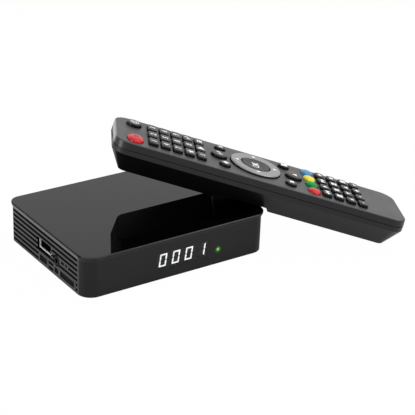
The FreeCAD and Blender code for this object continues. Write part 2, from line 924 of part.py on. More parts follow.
def block_key(u, v, size):
    length, width, height = size

    def outline(shrink, w):
        half_u, half_v = length / 2 - shrink, width / 2 - shrink
        return rounded_wire(u - half_u, u + half_u, v - half_v, v + half_v,
                            row_key_corner, row_key_corner, w)

    flange = prism(outline(-key_flange, flange_bottom()), key_skirt)
    stem = prism(outline(0, flange_top()), -flange_top())
    cap = loft([outline(0, 0), outline(key_draft / 2, height - key_edge),
                outline(key_draft / 2 + key_edge, height)])
    return fused([flange, stem, cap])


def row_places(rows, columns, start, pitch, column_pitch):
    # For each row, the key centres from the near side to the far side
    places = []
    for row in range(rows):
        u = start + row * pitch
        places.append([(u, (column - (columns - 1) / 2) * column_pitch) for column in range(columns)])
    return places


def number_places():
    return row_places(number_rows, number_columns, number_start, number_pitch, number_column_pitch)


def function_places():
    return row_places(function_rows, function_columns, function_start, function_pitch,
                      function_column_pitch)


def key_row(places, size):
    return Part.makeCompound([block_key(u, v, size) for u, v in places])


def key_holes():
    holes = []
    grow = 2 * key_clearance
    for u, v, length, width, _ in oval_keys.values():
        holes.append(oval(u, v, length + grow, width + grow, -remote_wall - 1, 1))
    for rows, size in ((number_places(), number_key), (function_places(), function_key)):
        half_u, half_v = size[0] / 2 + key_clearance, size[1] / 2 + key_clearance
        for u, v in [place for row in rows for place in row]:
            wire = rounded_wire(u - half_u, u + half_u, v - half_v, v + half_v, row_key_corner,
                                row_key_corner, -remote_wall - 1)
            holes.append(prism(wire, remote_wall + 2))
    holes.append(oval(ring_place, 0, ring_length + grow, ring_width + grow, -remote_wall - 1, 1))
    return holes


def ring_low():
    return -remote_wall - ring_skirt


def pivot_point(side, reach):
    # A point on the ring's tilting axis, reach beyond the ring's edge on one side
    height = -remote_wall - ring_pivot_radius - pivot_gap
    return V(ring_place, side * (ring_width / 2 + reach), height)


def pivot_blocks():
    # Blocks under the top shell, each with a notch open from below for one of the ring's pivots
    length, width, height = pivot_block
    top = -remote_wall
    blocks = []
    for side in (-1, 1):
        middle = pivot_point(side, key_clearance + pivot_gap + width / 2)
        block = box(ring_place - length / 2, ring_place + length / 2, middle.y - width / 2,
                    middle.y + width / 2, top - height, top)
        radius = ring_pivot_radius + pivot_gap
        hole = cylinder(radius, width, middle - rear_way * (width / 2), rear_way)
        notch = box(ring_place - radius, ring_place + radius, middle.y - width / 2, middle.y + width / 2,
                    top - height, middle.z)
        blocks.append(block.cut(hole.fuse(notch)))
    return blocks


def nav_ring():
    # The ring tilts on two pivots on its cross axis, so it has no flange to hold it down
    low = ring_low()
    top = ring_height
    body = oval(ring_place, 0, ring_length, ring_width, low, top - ring_slope)
    slope = loft([ellipse_wire(ring_place, 0, ring_length, ring_width, top - ring_slope),
                  ellipse_wire(ring_place, 0, ring_length - 2 * ring_slope_width,
                               ring_width - 2 * ring_slope_width, top)])
    gap = 2 * ring_gap
    hole = oval(ring_place, 0, ok_length + gap, ok_width + gap, low - 1, top + 1)
    start = pivot_point(-1, ring_pivot_length)
    pivots = cylinder(ring_pivot_radius, ring_width + 2 * ring_pivot_length, start, rear_way)
    return fused([body, slope, pivots]).cut(hole)


def ok_key():
    low = -remote_wall - key_skirt
    stem = oval(ring_place, 0, ok_length, ok_width, low, ok_height - key_edge)
    cap = loft([ellipse_wire(ring_place, 0, ok_length, ok_width, ok_height - key_edge),
                ellipse_wire(ring_place, 0, ok_length - 2 * ok_edge, ok_width - 2 * ok_edge, ok_height)])
    return fused([stem, cap])


def remote_top_shell():
    solid = upper_shape(0, 0).cut(upper_shape(remote_wall, -remote_wall))
    return fused([solid.cut(fused(key_holes()))] + pivot_blocks())


def bay_span():
    # The battery bay along U, between the faces that carry the contacts
    slack = contact_thickness + contact_spring_length
    return battery_start - slack, battery_start + battery_length + battery_tip_length + contact_thickness


def bay_top():
    return remote_board_bottom() - bay_gap


def board_posts():
    # The posts that the board lies on, one pair in each row
    rows = (board_post_start, recess_start - board_post_gap, bay_span()[0] - bay_wall - bay_post_gap)
    return [(u, side * board_post_across) for u in rows for side in (-1, 1)]


def parting_ring():
    # The groove round the bottom shell's rim that shows as the parting line
    height, depth = parting_groove
    low = -parting_depth - height
    half, corner = remote_width / 2, remote_corner
    around = prism(plan_wire(-end_bulge - 1, remote_length + 1, half + 1, corner, low), height)
    return around.cut(prism(plan_wire(depth - end_bulge, remote_length - depth, half - depth,
                                      corner - depth, low), height))


def ir_window_zone(gap):
    half = ir_window_width / 2 + gap
    top = -parting_depth - ir_window_drop + gap
    return box(-end_bulge - 1, keel_front, -half, half, top - ir_window_height - 2 * gap, top)


def remote_bottom_shell():
    inside = lower_shape(remote_wall, remote_floor).cut(recess_tool(remote_floor))
    solid = lower_shape(0, 0).cut(recess_tool(0)).cut(inside)
    bay_u0, bay_u1 = bay_span()
    half = 2 * battery_radius + battery_gap / 2
    walls = []
    floor_w = -remote_depth + remote_floor
    for u in (bay_u0 - bay_wall, bay_u1):
        walls.append(box(u, u + bay_wall, -half, half, floor_w, bay_top()))
    for u, v in board_posts():
        walls.append(cylinder(board_post_radius, remote_board_bottom() - floor_w, V(u, v, floor_w), up_way))
    solid = fused([solid] + walls)
    mouth = box(bay_u0, bay_u1, -half, half, -remote_depth - 1, floor_w)
    half_cover = cover_half_width + cover_gap
    cover_room = box(cover_start - cover_gap, remote_length + cut_margin, -half_cover, half_cover,
                     -remote_depth - 1, -remote_depth + cover_plate + cover_gap)
    solid = solid.cut(parting_ring()).cut(mouth).cut(cover_room)
    return solid.cut(ir_window_zone(ir_window_gap))


def battery_cover():
    plate = box(cover_start, remote_length, -cover_half_width, cover_half_width, -remote_depth - 1,
                -remote_depth + cover_plate)
    return lower_shape(0, 0).common(plate)


def ir_window():
    return lower_shape(0, 0).cut(lower_shape(remote_wall, remote_floor)).common(ir_window_zone(0))


def mat_top():
    return flange_bottom() - key_travel - mat_gap


def remote_board_bottom():
    return mat_top() - mat_thickness - remote_board_thickness


def key_mat():
    half = remote_width / 2 - remote_wall - mat_margin
    u0 = remote_wall + mat_margin
    u1 = function_start + (function_rows - 1) * function_pitch + function_key[0]
    return prism(plan_wire(u0, u1, half, mat_corner, mat_top() - mat_thickness), mat_thickness)


def remote_board():
    half = remote_width / 2 - remote_wall - remote_board_margin
    u0 = remote_wall + remote_board_margin + emitter_length / 2
    u1 = remote_length - remote_wall - remote_board_margin
    return prism(plan_wire(u0, u1, half, mat_corner, remote_board_bottom()), remote_board_thickness)


def ir_emitter():
    start = V(remote_wall - end_bulge + emitter_gap, 0, remote_board_bottom() - emitter_radius)
    return cylinder(emitter_radius, emitter_length, start, right_way)


def battery_axis():
    return -remote_depth + cover_plate + battery_gap + battery_radius


def batteries():
    cells = []
    for side in (-1, 1):
        v = side * (battery_radius + battery_gap / 4)
        start = V(battery_start, v, battery_axis())
        cell = cylinder(battery_radius, battery_length, start, right_way)
        tip = cylinder(battery_tip_radius, battery_tip_length, start + right_way * battery_length, right_way)
        cells.append(fused([cell, tip]))
    return Part.makeCompound(cells)


def battery_contacts():
    bay_u0, bay_u1 = bay_span()
    half = 2 * battery_radius - contact_margin
    low = battery_axis() - battery_radius + contact_margin
    high = bay_top() - contact_margin
    spring_plate = box(bay_u0, bay_u0 + contact_thickness, -half, half, low, high)
    springs = []
    for side in (-1, 1):
        v = side * (battery_radius + battery_gap / 4)
        start = V(bay_u0 + contact_thickness, v, battery_axis())
        springs.append(cylinder(contact_spring_radius, contact_spring_length, start, right_way))
    flat_plate = box(bay_u1 - contact_thickness, bay_u1, -half, half, low, high)
    return Part.makeCompound([fused([spring_plate] + springs), flat_plate])


# ---- The lean of the remote against the receiver ----

def turned(tilt):
    return FreeCAD.Rotation(lean_heading, tilt, lean_roll)


def rest_point():
    # The point of the underside, in the remote's frame, that rests on the cover's edge
    half = keel_width / 2
    crown = recess_crown * (1 - (lean_across / half) ** 2)
    return V(lean_along, lean_across, -remote_depth + recess_depth - crown)


def lowest_point():
    # The corner of the keel, in the remote's frame, that comes down to the floor
    return V(remote_length - keel_rear - keel_edge, keel_width / 2 - keel_corner, -remote_depth)


def lean_tilt():
    # The tilt that brings the lowest corner down to the floor, from a sin t + b cos t = drop
    span = lowest_point() - rest_point()
    roll = math.radians(lean_roll)
    a = span.x
    b = -(span.y * math.sin(roll) + span.z * math.cos(roll))
    drop = cover_top + lean_clearance - floor_clearance
    return math.degrees(math.asin(drop / math.hypot(a, b)) - math.atan2(b, a))


def remote_placement():
    turn = turned(lean_tilt())
    edge = V(right + side_overhang, lean_edge_y, cover_top + lean_clearance)
    return FreeCAD.Placement(edge - turn.multVec(rest_point()), turn)


def remote_pieces():
    pieces = {
        "remote_top_shell": remote_top_shell(),
        "remote_bottom_shell": remote_bottom_shell(),
        "battery_cover": battery_cover(),
        "ir_window": ir_window(),
        "ir_emitter": ir_emitter(),
        "key_mat": key_mat(),
        "remote_board": remote_board(),
        "batteries": batteries(),
        "battery_contacts": battery_contacts(),
        "nav_ring": nav_ring(),
        "ok_key": ok_key(),
    }
    for name, (u, v, length, width, height) in oval_keys.items():
        pieces[name] = oval_key(u, v, length, width, height, name in domed_keys)
    for index, places in enumerate(number_places()):
        pieces["number_keys_%d" % (index + 1)] = key_row(places, number_key)
    for index, places in enumerate(function_places()):
        pieces["function_keys_%d" % (index + 1)] = key_row(places, function_key)
    return pieces


def receiver_pieces():
    makers = (top_cover, case_body, front_panel, base_plate, rubber_feet, case_screws, main_board, tuner_can,
              lnb_connector, hdmi_socket, ethernet_socket, av_socket, power_socket, usb_socket, usb_tongue,
              side_jack, display_board, display_module, display_digits, status_led, ir_sensor, processor,
              heat_sink, memory_chips, capacitors)
    return {maker.__name__: maker() for maker in makers}


def main():
    os.makedirs("parts", exist_ok=True)
    pieces = receiver_pieces()
    lean = remote_placement()
    for name, shape in remote_pieces().items():
        shape.Placement = lean.multiply(shape.Placement)
        pieces[name] = shape
    for name, shape in pieces.items():
        shape.exportStep("parts/%s.step" % name)
        print("%-20s solids %d volume %10.1f valid %s"
              % (name, len(shape.Solids), shape.Volume, shape.isValid()))
    print("remote at", lean.Base, "tilt", round(lean_tilt(), 3))


main()
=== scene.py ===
import bmesh
import bpy
import json
import math

from mathutils import Matrix, Vector


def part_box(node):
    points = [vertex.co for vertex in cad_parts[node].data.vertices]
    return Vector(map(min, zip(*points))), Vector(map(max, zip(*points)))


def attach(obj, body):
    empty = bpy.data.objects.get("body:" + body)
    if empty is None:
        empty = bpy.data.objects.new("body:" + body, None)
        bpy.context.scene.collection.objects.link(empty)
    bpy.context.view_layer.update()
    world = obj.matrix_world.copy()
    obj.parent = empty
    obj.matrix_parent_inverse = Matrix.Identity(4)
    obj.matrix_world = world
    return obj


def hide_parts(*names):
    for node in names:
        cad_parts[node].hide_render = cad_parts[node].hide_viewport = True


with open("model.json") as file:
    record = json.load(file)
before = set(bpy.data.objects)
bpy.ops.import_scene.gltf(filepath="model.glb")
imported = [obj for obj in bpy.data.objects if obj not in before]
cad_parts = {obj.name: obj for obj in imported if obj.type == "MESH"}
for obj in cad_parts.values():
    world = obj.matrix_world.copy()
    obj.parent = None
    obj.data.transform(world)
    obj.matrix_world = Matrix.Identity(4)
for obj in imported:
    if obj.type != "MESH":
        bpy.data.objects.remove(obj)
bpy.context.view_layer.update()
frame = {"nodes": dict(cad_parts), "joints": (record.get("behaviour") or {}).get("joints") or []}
print("frame loaded with", len(frame["nodes"]), "nodes")

mm = 0.001
joints = {joint["name"]: joint for joint in frame["joints"]}
ringPlace = 77.95  # the ring's middle, in millimetres from the remote's power key end
ringDepth = 2.25  # the ring's pivot, below the key face, in millimetres
materials = {}


def linear(hexText):
    # an sRGB hex colour as linear red, green, blue and alpha
    parts = [int(hexText[i:i + 2], 16) / 255 for i in (1, 3, 5)]
    return tuple(c / 12.92 if c <= 0.04045 else ((c + 0.055) / 1.055) ** 2.4 for c in parts) + (1.0,)


def addNode(tree, kind, inputs, **settings):
    # one node with its settings; an input takes either a value or the output that feeds it
    node = tree.nodes.new(kind)
    for name, value in settings.items():
        setattr(node, name, value)
    for name, value in inputs.items():
        if isinstance(value, bpy.types.NodeSocket):
            tree.links.new(value, node.inputs[name])
        else:
            node.inputs[name].default_value = value
    return node


def newMaterial(name):
    # an empty material, kept under its name: the finish is built in its node tree
    materials[name] = bpy.data.materials.new(name)
    materials[name].use_nodes = True
    tree = materials[name].node_tree
    tree.nodes.clear()
    return tree


def remoteMatrix():
    # from the remote's own frame to the row frame: U along it, V across it, W out of its keys
    along = Vector(joints["battery_cover_slide"]["axis"]).normalized()
    outward = -Vector(joints["ok_key_press"]["axis"]).normalized()
    across = outward.cross(along).normalized()
    pivot = Vector(joints["nav_ring_tilt"]["pos_m"])
    start = pivot - along * ringPlace * mm + outward * ringDepth * mm
    turn = Matrix((along, across, outward)).transposed().to_4x4()
    return Matrix.Translation(start) @ turn


toRow = remoteMatrix()
toRemote = toRow.inverted()
# text is made lying flat with its foot towards -Y: on the remote its foot points along +U
textTurn = Matrix(((0, -1, 0, 0), (1, 0, 0, 0), (0, 0, 1, 0), (0, 0, 0, 1)))


def remoteBox(node):
    # lowest and highest corner of a node in the remote's own frame, in millimetres
    points = [toRemote @ v.co for v in frame["nodes"][node].data.vertices]
    low = Vector([min(p[i] for p in points) for i in range(3)]) / mm
    high = Vector([max(p[i] for p in points) for i in range(3)]) / mm
    return low, high


def rowBox(node):
    low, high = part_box(node)
    return low / mm, high / mm


def finishPiece(name, mesh, body, finish, stands=()):
    # a mesh modelled in millimetres in the remote's frame becomes a piece that rides on a body
    bmesh.ops.transform(mesh, matrix=toRow @ Matrix.Scale(mm, 4), verts=mesh.verts)
    mesh.normal_update()
    data = bpy.data.meshes.new(name)
    mesh.to_mesh(data)
    mesh.free()
    data.materials.append(materialNamed(finish))
    piece = bpy.data.objects.new(name, data)
    bpy.context.scene.collection.objects.link(piece)
    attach(piece, body)
    if stands:
        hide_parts(*stands)


def smoothShade(mesh, angle):
    # soft shading, with the edges that turn by more than the angle kept sharp
    limit = math.radians(angle)
    for face in mesh.faces:
        face.smooth = True
    for edge in mesh.edges:
        edge.smooth = len(edge.link_faces) == 2 and edge.calc_face_angle(0) < limit


def spunProfile(mesh, profile, steps, place):
    # a profile of radius and height, spun round Z into a closed form and put in its place
    ring = [mesh.verts.new((radius, 0, height)) for radius, height in profile]
    edges = [mesh.edges.new(pair) for pair in zip(ring, ring[1:])]
    bmesh.ops.spin(mesh, geom=ring + edges, cent=(0, 0, 0), axis=(0, 0, 1), angle=math.tau, steps=steps,
                   use_merge=True, use_duplicate=False)
    verts = list({v for e in mesh.edges for v in e.verts if v.is_valid and not v.tag})
    bmesh.ops.remove_doubles(mesh, verts=verts, dist=1e-4)
    verts = [v for v in mesh.verts if not v.tag]
    faces = [f for f in mesh.faces if not f.tag]
    bmesh.ops.recalc_face_normals(mesh, faces=faces)
    bmesh.ops.transform(mesh, matrix=place, verts=verts)
    for item in verts + faces:
        item.tag = True


def roundedBlock(mesh, low, high, radius, segments):
    # a block from corner to corner, with its four upright edges rounded to a radius
    low, high = Vector(low), Vector(high)
    place = Matrix.Translation((low + high) / 2) @ Matrix.Diagonal((high - low).to_4d())
    made = bmesh.ops.create_cube(mesh, size=1.0, matrix=place)
    edges = {e for v in made["verts"] for e in v.link_edges}
    upright = [e for e in edges if (e.verts[1].co - e.verts[0].co).xy.length < 1e-6]
    bmesh.ops.bevel(mesh, geom=upright, offset=radius, affect="EDGES", segments=segments, profile=0.5,
                    material=-1)


def noiseField(tree, size):
    # a soft random field on object coordinates, its blots about this many millimetres across
    place = addNode(tree, "ShaderNodeTexCoord", {})
    return addNode(tree, "ShaderNodeTexNoise", {
        "Vector": place.outputs["Object"], "Scale": 1 / (size * mm), "Detail": 2.0,
    }).outputs["Fac"]


def spread(tree, field, low, high):
    # the middle part of a 0 to 1 field, stretched to run from low to high
    return addNode(tree, "ShaderNodeMapRange", {
        "Value": field, "From Min": 0.3, "From Max": 0.7, "To Min": low, "To Max": high,
    }).outputs["Result"]


def twoTones(tree, field, first, second):
    return addNode(tree, "ShaderNodeMix", {0: field, 6: linear(first), 7: linear(second)},
                   data_type="RGBA").outputs[2]


def finishShader(tree, look, colour=None):
    # a faint mottle in the colour, an uneven polish and a grain of its own size and height
    if colour is None:
        colour = twoTones(tree, spread(tree, noiseField(tree, look["mottle"]), 0, 1), look["colour"],
                          look["second"])
    rough = spread(tree, noiseField(tree, look["polish"]), look["smooth"], look["rough"])
    bump = addNode(tree, "ShaderNodeBump", {
        "Height": noiseField(tree, look["grain"]), "Distance": look["height"] * mm, "Strength": 1.0,
    })
    return addNode(tree, "ShaderNodeBsdfPrincipled", {
        "Base Color": colour, "Roughness": rough, "Metallic": look.get("metallic", 0.0),
        "Specular IOR Level": look.get("specular", 0.5), "Coat Weight": look.get("coat", 0.0),
        "Normal": bump.outputs["Normal"],
    })


# sizes are in millimetres: mottle and polish are blots, grain is the moulded or cast texture
finishes = {
    # polished acrylic over black: a mirror, with a trace of haze from handling
    "polishedAcrylic": dict(colour="#010101", second="#020202", mottle=40, polish=25, smooth=0.01,
                            rough=0.03, grain=8, height=0.0, specular=0.268),
    # black ABS from a spark-eroded mould: an even satin with a fine grain
    "grainedAbs": dict(colour="#282828", second="#2e2e2e", mottle=12, polish=6, smooth=0.38, rough=0.46,
                       grain=0.5, height=0.006, specular=0.6),
    # the same ABS on the flared rim, painted paler: a painted highlight where the rim catches the light
    "flareHighlightAbs": dict(colour="#545454", second="#5a5a5a", mottle=12, polish=6, smooth=0.34, rough=0.42,
                     grain=0.5, height=0.004, specular=0.6),
    # matt silicone rubber: soft grey sheen, almost no gloss
    "siliconeRubber": dict(colour="#161616", second="#1d1d1d", mottle=4, polish=3, smooth=0.6, rough=0.75,
                           grain=0.4, height=0.008),
    # black-oxide steel: dark and oily, with a soft metal gloss
    "oxideSteel": dict(colour="#2c2c2e", second="#3a3a3c", mottle=1.5, polish=1, smooth=0.3, rough=0.45,
                       grain=0.3, height=0.004, metallic=1.0),
    # tin-plated steel: pale, slightly cloudy metal from the dip
    "tinPlate": dict(colour="#c9c9c6", second="#dededa", mottle=3, polish=2, smooth=0.18, rough=0.32,
                     grain=0.8, height=0.003, metallic=1.0),
    # painted highlight at a socket's mouth: tin made almost white where its lips catch the light
    "tinMouthHighlight": dict(colour="#f2f2f0", second="#fafaf8", mottle=3, polish=2, smooth=0.2, rough=0.3,
                      grain=0.8, height=0.001, metallic=0.15, specular=1.0),
    # nickel plate on brass: bright with a warm tint
    "nickelPlate": dict(colour="#c8c3b8", second="#d8d3c8", mottle=3, polish=2, smooth=0.12, rough=0.22,
                        grain=0.5, height=0.002, metallic=1.0),
    # glass-filled nylon of sockets: deep black, half matt
    "filledNylon": dict(colour="#0b0b0b", second="#111111", mottle=3, polish=2, smooth=0.45, rough=0.6,
                        grain=0.3, height=0.005),
    # moulded epoxy of chips: charcoal with a fine sand-blasted top
    "mouldedEpoxy": dict(colour="#191919", second="#222222", mottle=2, polish=1, smooth=0.55, rough=0.7,
                         grain=0.15, height=0.004),
    # extruded aluminium: light metal with a drawn, slightly dull skin
    "extrudedAluminium": dict(colour="#bcbec2", second="#cfd1d5", mottle=5, polish=2, smooth=0.3,
                              rough=0.45, grain=0.6, height=0.004, metallic=1.0),
    # shrink-fitted vinyl sleeve: dark blue-black and shiny
    "shrinkSleeve": dict(colour="#10131c", second="#161a26", mottle=4, polish=3, smooth=0.15, rough=0.25,
                         grain=1.0, height=0.003),
    # printed steel sleeve of a dry cell, left plain: dark with a soft metal gloss
    "printedSleeve": dict(colour="#26282d", second="#2f3238", mottle=8, polish=4, smooth=0.22, rough=0.32,
                          grain=1.0, height=0.002, metallic=0.6),
    # painted highlight on the sheet's front and rear edges: half matt grey, paler beside the mirror
    "edgeHighlightAcrylic": dict(colour="#2b2b2b", second="#343434", mottle=5, polish=3, smooth=0.3, rough=0.4,
                        grain=0.4, height=0.003, specular=0.4),
    # painted shade: near-black with hardly any sheen, for the depth of a socket and of the case's slots
    "depthShade": dict(colour="#030303", second="#050505", mottle=2, polish=1, smooth=0.6, rough=0.7,
                       grain=0.5, height=0.001, specular=0.1),
    # charcoal ABS of the remote's shells: dark and semi-gloss, it takes its tone from the floor
    "satinAbs": dict(colour="#050505", second="#080808", mottle=15, polish=8, smooth=0.3, rough=0.36,
                     grain=0.5, height=0.003, specular=0.44),
    # the same ABS on the remote's power-key end, lighter and with a coat that doubles its sheen: a painted
    # highlight on that end
    "coatedAbs": dict(colour="#151515", second="#181818", mottle=15, polish=8, smooth=0.3, rough=0.36,
                      grain=0.5, height=0.002, specular=0.6, coat=0.9),
    # black ABS with hardly any sheen: painted shade in the case's hollows, and the dull end of the remote's
    # keel
    "mattAbs": dict(colour="#050505", second="#080808", mottle=15, polish=8, smooth=0.6, rough=0.7,
                    grain=0.5, height=0.002, specular=0.1),
    # satin grey on the key face, lighter than the shell's sides: even, with a fine leather grain
    "greyFace": dict(colour="#3b3b3b", second="#414141", mottle=14, polish=8, smooth=0.42, rough=0.48,
                     grain=0.5, height=0.004, specular=0.42),
    # black with hardly any sheen: the bare sides of the keys and the jack, and painted shade on the sides of
    # the ring, of the middle key and of the cover's side edges
    "blackRubberAndShade": dict(colour="#040404", second="#060606", mottle=4, polish=3, smooth=0.4, rough=0.5,
                          grain=0.6, height=0.002, specular=0.12),
    # gloss-coated rubber of the key tops: black, with a grey sheen
    "coatedKey": dict(colour="#050505", second="#080808", mottle=4, polish=3, smooth=0.22, rough=0.3,
                      grain=0.6, height=0.002, specular=0.22),
    "redKey": dict(colour="#be0c12", second="#c60f16", mottle=3, polish=2, smooth=0.2, rough=0.26,
                   grain=0.6, height=0.0, specular=0.28),
    "blueKey": dict(colour="#347ca8", second="#3880ae", mottle=3, polish=2, smooth=0.2, rough=0.26,
                    grain=0.6, height=0.0, specular=0.36),
    "yellowKey": dict(colour="#d8ce1e", second="#e0d626", mottle=3, polish=2, smooth=0.2, rough=0.26,
                      grain=0.6, height=0.0, specular=0.36),
    "greenKey": dict(colour="#008034", second="#008638", mottle=3, polish=2, smooth=0.2, rough=0.26,
                     grain=0.6, height=0.0, specular=0.08),
    # silver lacquer over ABS: pale flakes in a clear coat
    "silverLacquer": dict(colour="#848484", second="#949494", mottle=0.7, polish=2, smooth=0.32, rough=0.42,
                          grain=0.7, height=0.002, metallic=0.35),
    # dark grey lacquer of the middle key
    "greyLacquer": dict(colour="#121213", second="#171718", mottle=0.8, polish=2, smooth=0.35, rough=0.45,
                        grain=0.7, height=0.002, specular=0.3),
    # white ink of the legends: opaque and half matt
    "legendInk": dict(colour="#f2f2f2", second="#fafafa", mottle=1, polish=1, smooth=0.45, rough=0.55,
                      grain=0.4, height=0.002),
    # dark ink of the power key's mark
    "darkInk": dict(colour="#3a0a0c", second="#43100f", mottle=1, polish=1, smooth=0.45, rough=0.55,
                    grain=0.4, height=0.002),
    # deep red-black polycarbonate that passes infrared, dulled by its fine ribs
    "infraredWindow": dict(colour="#080203", second="#0b0304", mottle=4, polish=3, smooth=0.4, rough=0.5,
                           grain=2, height=0.001, specular=0.12),
    # clear epoxy of a diode, faintly blue
    "clearEpoxy": dict(colour="#9fa3bb", second="#aaaec4", mottle=2, polish=2, smooth=0.05, rough=0.1,
                       grain=1, height=0.001),
}


def layFinishes(tree, base, layers=()):
    # a base finish with others laid over it, each where its share is 1
    skin = finishShader(tree, finishes[base])
    for share, finish in layers:
        fresh = finishShader(tree, finishes[finish])
        skin = addNode(tree, "ShaderNodeMixShader", {0: share, 1: skin.outputs[0], 2: fresh.outputs[0]})
    addNode(tree, "ShaderNodeOutputMaterial", {"Surface": skin.outputs[0]})


def materialNamed(name):
    # a plain finish becomes a material when a piece first asks for it
    if name not in materials:
        layFinishes(newMaterial(name), name)
    return materials[name]


boardLook = {  # in millimetres, spaced wider than real traces so that they show
    "traceLength": 4.0, "tracePitch": 1.2, "traceWidth": 0.12, "padPitch": 2.5,
    "padShare": 0.12,  # radius of a pad, as a share of its pitch
}


def solderMask():
    # green epoxy mask over copper: fine traces show as paler lines, plated pads as bright specks
    tree = newMaterial("solderMask")
    place = addNode(tree, "ShaderNodeTexCoord", {})
    traces = addNode(tree, "ShaderNodeTexBrick", {
        "Vector": place.outputs["Object"], "Color1": linear("#0d3a20"), "Color2": linear("#0f4325"),
        "Mortar": linear("#2c7a48"), "Scale": 1.0, "Brick Width": boardLook["traceLength"] * mm,
        "Row Height": boardLook["tracePitch"] * mm, "Mortar Size": boardLook["traceWidth"] * mm,
        "Mortar Smooth": 0.1,
    })
    pads = addNode(tree, "ShaderNodeTexVoronoi", {
        "Vector": place.outputs["Object"], "Scale": 1 / (boardLook["padPitch"] * mm),
    })
    speck = addNode(tree, "ShaderNodeMath", {0: pads.outputs["Distance"], 1: boardLook["padShare"]},
                    operation="LESS_THAN")
    colour = addNode(tree, "ShaderNodeMix", {
        0: speck.outputs["Value"], 6: traces.outputs["Color"], 7: linear("#c9cac6"),
    }, data_type="RGBA").outputs[2]
    shader = addNode(tree, "ShaderNodeBsdfPrincipled", {
        "Base Color": colour, "Roughness": spread(tree, noiseField(tree, 3), 0.25, 0.4),
        "Metallic": speck.outputs["Value"],
    })
    addNode(tree, "ShaderNodeOutputMaterial", {"Surface": shader.outputs["BSDF"]})


def beyondPlane(tree, point, way):
    # 1 for places on the object that lie beyond a point along a way
    place = addNode(tree, "ShaderNodeTexCoord", {})
    offset = addNode(tree, "ShaderNodeVectorMath", {0: place.outputs["Object"], 1: point},
                     operation="SUBTRACT")
    height = addNode(tree, "ShaderNodeVectorMath", {0: offset.outputs["Vector"], 1: way},
                     operation="DOT_PRODUCT").outputs["Value"]
    return addNode(tree, "ShaderNodeMath", {0: height, 1: 0.0}, operation="GREATER_THAN").outputs[0]


def cutFinish(name, base, cuts):
    # a skin that changes at planes: each cut gives its own finish beyond a point along a way
    tree = newMaterial(name)
    layFinishes(tree, base, [(beyondPlane(tree, point, way), finish) for point, way, finish in cuts])


remoteSkin = {  # in millimetres
    "faceDepth": 0.3,  # how far the face's grey runs down the sides
    "endDepth": 0.5,  # how far the finish of the power key's end runs round it
    # the two faces of that end, as points and ways along U and W
    "upperEnd": ((0, 0), (-1, 0)), "lowerEnd": ((-0.15, -6.8), (-11.4, -6.75)),
}
keyCoats = {"coatedKey": 1.05, "silverLacquer": 0.85, "greyLacquer": 1.05}  # each starts this far above the key face; below it the side is black, painted shade on the ring and the middle key


def remoteCut(spot, way, depth, finish):
    # a cut of the remote's skin, from a spot and a way along U and W, and a depth under that face
    outward = Vector((way[0], 0, way[1])).normalized()
    start = Vector((spot[0], 0, spot[1])) - outward * depth
    return toRow @ (start * mm), toRow.to_3x3() @ outward, finish


def facedAbs():
    # ABS with satin grey on its top, a painted highlight on its end, and bare sides
    cutFinish("facedAbs", "satinAbs", [
        remoteCut((0, 0), (0, 1), remoteSkin["faceDepth"], "greyFace"),
        remoteCut(*remoteSkin["upperEnd"], remoteSkin["endDepth"], "coatedAbs"),
    ])


def keelAbs():
    # bare ABS, with the end that faces the table black with hardly any sheen
    cutFinish("keelAbs", "satinAbs", [remoteCut(*remoteSkin["lowerEnd"], remoteSkin["endDepth"], "mattAbs")])


def coatedTops():
    # keys that wear their finish above a level only: below it their sides are black, which on the ring and
    # the middle key is painted shade
    for finish, level in keyCoats.items():
        cutFinish(finish + "Top", "blackRubberAndShade", [remoteCut((0, level), (0, 1), 0, finish)])


coverSkin = {"topDepth": 0.15, "shadedSideDepth": 0.6}  # of the polish and of the painted shade on the side edges, in millimetres


def acrylicEdgeLightAndShade():
    # acrylic sheet: a mirror on top, front and rear edges paler grey as a painted highlight, side edges
    # black as painted shade
    low, high = rowBox("top_cover")
    left = Vector((low.x + coverSkin["shadedSideDepth"], 0, 0)) * mm
    right = Vector((high.x - coverSkin["shadedSideDepth"], 0, 0)) * mm
    top = Vector((0, 0, high.z - coverSkin["topDepth"])) * mm
    cutFinish("acrylicEdgeLightAndShade", "edgeHighlightAcrylic", [
        (left, Vector((-1, 0, 0)), "blackRubberAndShade"), (right, Vector((1, 0, 0)), "blackRubberAndShade"),
        (top, Vector((0, 0, 1)), "polishedAcrylic"),
    ])


def insideBox(tree, low, high, depths):
    # 1 for places inside a box, each depth giving how far from its sides along one axis, in millimetres
    place = addNode(tree, "ShaderNodeTexCoord", {})
    away = addNode(tree, "ShaderNodeVectorMath", {0: place.outputs["Object"], 1: (low + high) / 2 * mm},
                   operation="SUBTRACT")
    bothSides = addNode(tree, "ShaderNodeVectorMath", {0: away.outputs["Vector"]}, operation="ABSOLUTE")
    part = addNode(tree, "ShaderNodeSeparateXYZ", {0: bothSides.outputs["Vector"]})
    limits = (high - low) / 2 * mm
    near = [addNode(tree, "ShaderNodeMath", {0: part.outputs[axis], 1: limits[axis] - depth * mm},
                    operation="LESS_THAN").outputs[0] for axis, depth in depths.items()]
    return addNode(tree, "ShaderNodeMath", {0: near[0], 1: near[1]}, operation="MULTIPLY").outputs[0]


caseSkin = {  # in millimetres
    "flareFoot": 20.2,  # the flared rim starts this far above the table
    "hollowFloor": 1.0, "slotFloor": 1.45,  # depths in the sides, from the flared rim inwards, where the painted shade starts
    "slotEnd": 3.4,  # bare stretch before the slots, from the front and from the rear
}


